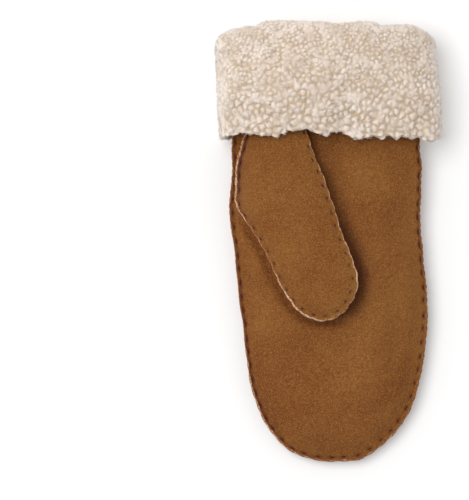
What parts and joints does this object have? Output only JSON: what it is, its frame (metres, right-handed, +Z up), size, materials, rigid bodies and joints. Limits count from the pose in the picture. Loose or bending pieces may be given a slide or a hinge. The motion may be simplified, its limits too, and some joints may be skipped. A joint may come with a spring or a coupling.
{
  "type": "shearling mitten",
  "caption": "Right-hand suede mitten with a wool inside, its wool cuff turned back and its thumb folded over the palm, lying palm up.",
  "frame": {"origin": "on the surface that the mitten rests on, under the middle of the hand", "axes": "+X across the hand to the little finger's side, +Y along it towards the mouth, +Z up out of the palm"},
  "size_m": [0.1388, 0.2697, 0.0524],
  "materials": {
    "suede": "napped sheepskin suede",
    "wool": "short curly sheep's wool",
    "thread": "waxed dark brown thread",
    "cut_edge": "raw cream cut edge of the skin"
  },
  "bodies": {
    "root": {"back_panel": "suede", "palm_panel": "suede", "thumb_back": "suede", "thumb_front": "suede", "back_fleece": "wool", "palm_fleece": "wool", "cuff_skin": "suede", "cuff_fleece": "wool"}
  },
  "joints": []
}
